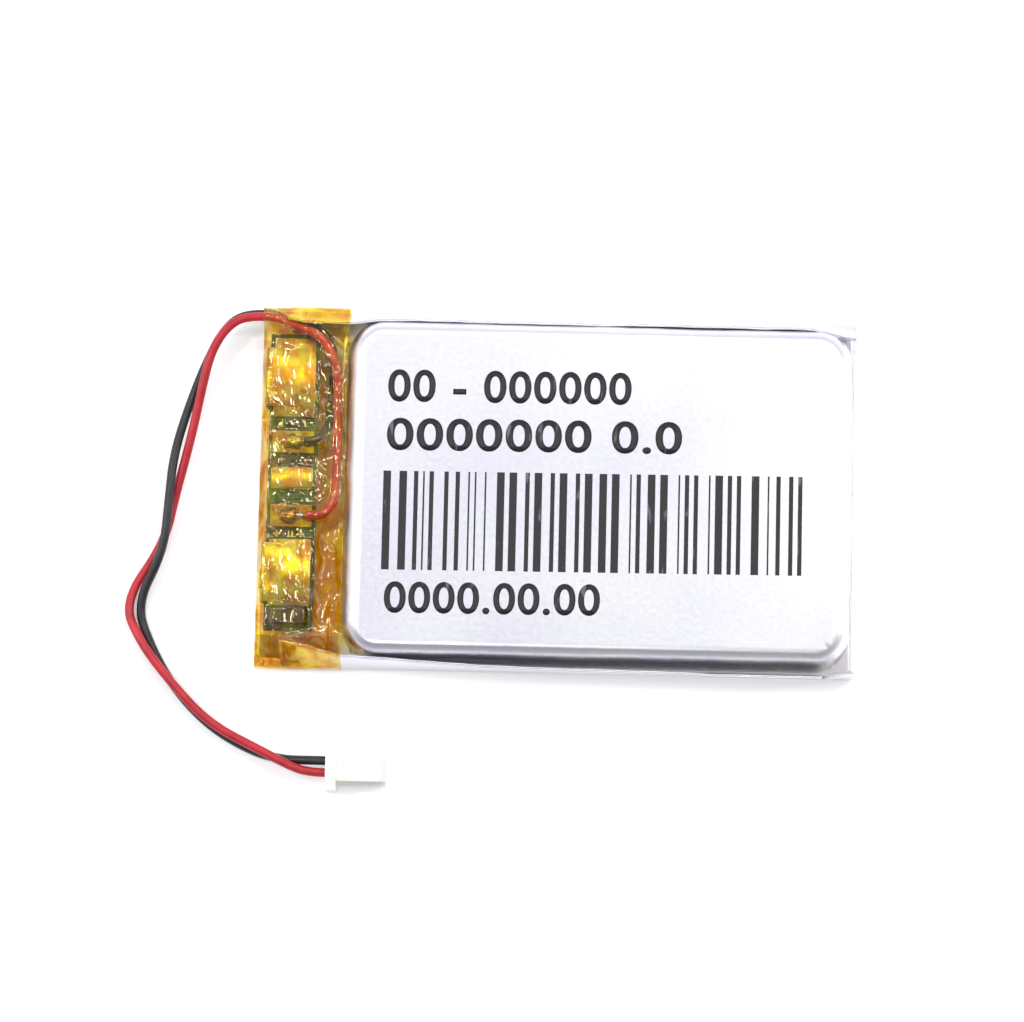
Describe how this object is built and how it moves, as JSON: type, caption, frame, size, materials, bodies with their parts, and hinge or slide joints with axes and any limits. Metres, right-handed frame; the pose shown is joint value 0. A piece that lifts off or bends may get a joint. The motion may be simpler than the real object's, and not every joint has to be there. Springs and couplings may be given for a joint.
{
  "type": "pouch battery cell",
  "caption": "Flat rectangular lithium pouch cell, sealing edge and protection board wrapped in amber film, with thin red and black leads ending in a small crimp connector",
  "frame": {"origin": "middle of the flat back face, on the surface it lies on, halfway between the folded end and the wrapped board end", "axes": "+X along the cell from the board end to the folded end, +Y across it, +Z out of the printed cup face"},
  "size_m": [0.0613, 0.0407, 0.0042],
  "materials": {
    "laminate": "satin, nylon-faced aluminium laminate",
    "anode_coating": "calendered graphite coating",
    "cathode_coating": "calendered oxide coating",
    "separator": "microporous polyolefin film",
    "stack_tape": "green polyester tape",
    "copper_foil": "bare copper foil",
    "aluminium_foil": "bare aluminium",
    "nickel": "rolled nickel",
    "sealant": "modified polypropylene film",
    "board_green": "solder mask on glass epoxy",
    "insulation": "pressed insulating paper",
    "tinned_metal": "bright tin plating",
    "solder": "bright tin solder",
    "chip_black": "moulded epoxy",
    "chip_ceramic": "fired ceramic",
    "amber_film": "clear amber polyimide film",
    "red_insulation": "extruded soft vinyl",
    "black_insulation": "extruded soft vinyl",
    "white_nylon": "moulded natural nylon",
    "printing_ink": "black marking ink"
  },
  "bodies": {
    "root": {"pouch_cup": "laminate", "pouch_back": "laminate", "anode_plates": "anode_coating", "cathode_plates": "cathode_coating", "separator_sheets": "separator", "stack_tapes": "stack_tape", "weld_tapes": "stack_tape", "copper_foil_ears": "copper_foil", "aluminium_foil_ears": "aluminium_foil", "positive_tab": "aluminium_foil", "negative_tab": "nickel", "positive_tab_sealant": "sealant", "negative_tab_sealant": "sealant", "circuit_board": "board_green", "board_insulation": "insulation", "board_lands": "tinned_metal", "negative_nickel_plate": "nickel", "positive_nickel_plate": "nickel", "test_pad": "nickel", "protection_chip": "chip_black", "twin_transistor": "chip_black", "chip_legs": "tinned_metal", "chip_resistors": "chip_black", "chip_capacitor": "chip_ceramic", "end_thermistor": "chip_black", "red_lead_inner": "red_insulation", "black_lead_inner": "black_insulation", "red_lead_strands": "tinned_metal", "black_lead_strands": "tinned_metal", "red_solder_joint": "solder", "black_solder_joint": "solder", "kapton_wrap": "amber_film", "red_lead": "red_insulation", "black_lead": "black_insulation", "connector_housing": "white_nylon", "red_terminal": "tinned_metal", "black_terminal": "tinned_metal"}
  },
  "joints": []
}
